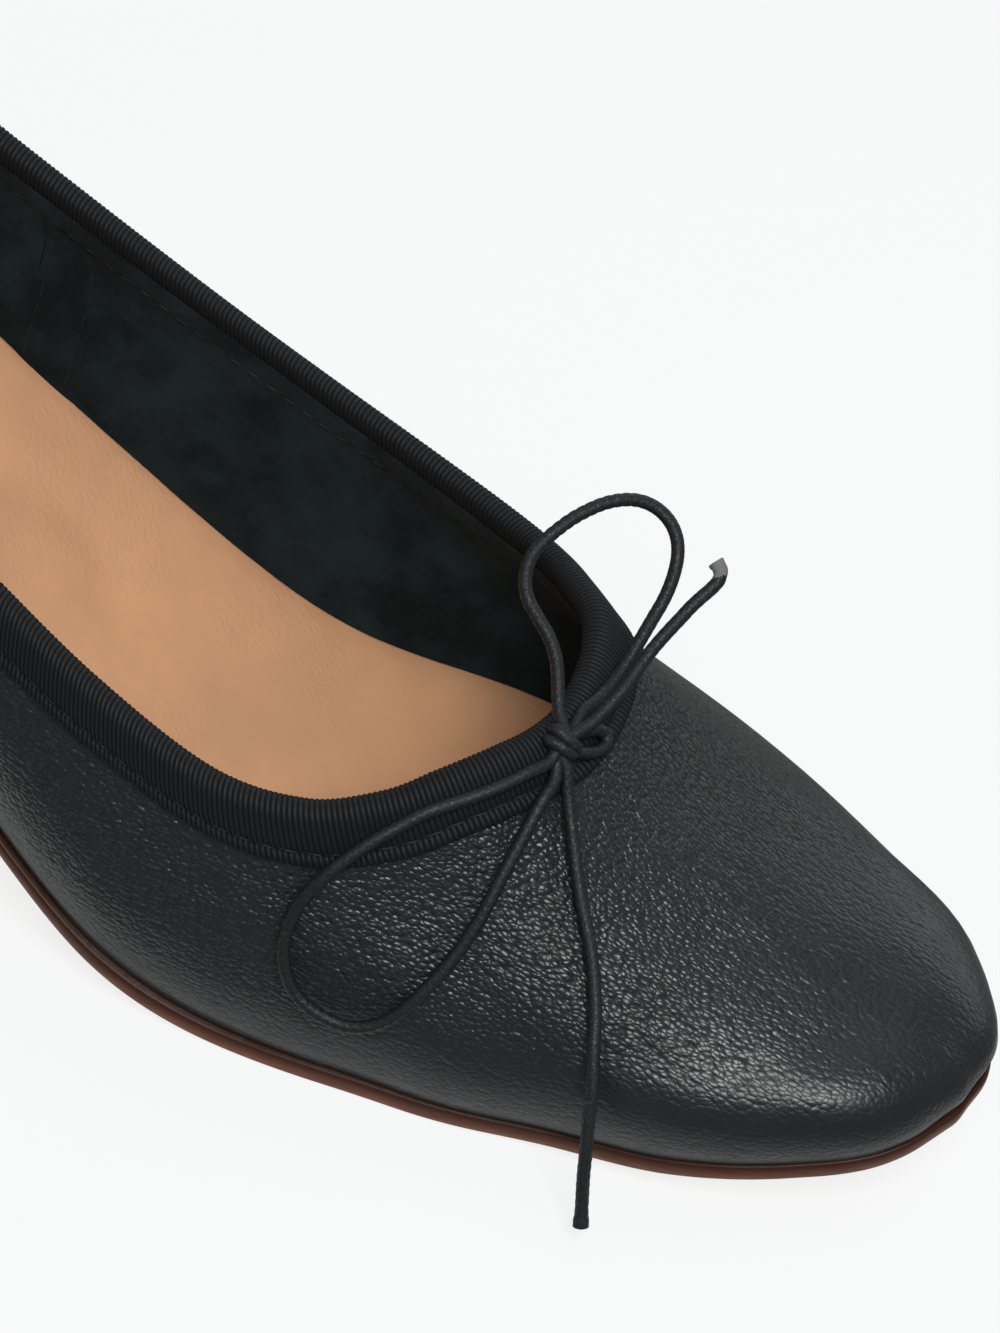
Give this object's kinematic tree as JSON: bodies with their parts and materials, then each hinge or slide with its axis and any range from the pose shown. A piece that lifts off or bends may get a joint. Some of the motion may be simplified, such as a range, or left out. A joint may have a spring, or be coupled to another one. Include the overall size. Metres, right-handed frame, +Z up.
{
  "type": "kitten heel pump",
  "caption": "Low-cut slip-on pump for a right foot, with a curved kitten heel, a round toe, a ribbed ribbon binding around the collar and a thin cord bow at the throat.",
  "frame": {"origin": "centre of the heel's tread, on the floor the shoe stands on", "axes": "+X from the heel to the toe, +Y to the inner side of the foot, +Z up"},
  "size_m": [0.2465, 0.0756, 0.1053],
  "materials": {
    "sole_leather": "burnished edge, smooth tread",
    "heel_leather": "satin leather over the heel block",
    "heel_rubber": "matte top piece",
    "insole_leather": "smooth tan leather",
    "upper_leather": "fine grained, soft satin",
    "binding_ribbon": "ribbed ribbon, matte",
    "bow_cord": "waxed braided cotton"
  },
  "bodies": {
    "root": {"outsole": "sole_leather", "heel": "heel_leather", "heel_tip": "heel_rubber", "insole": "insole_leather", "upper": "upper_leather", "collar_binding": "binding_ribbon", "bow_knot": "bow_cord", "bow_loop_near": "bow_cord", "bow_loop_far": "bow_cord", "bow_end_near": "bow_cord", "bow_end_far": "bow_cord"}
  },
  "joints": []
}
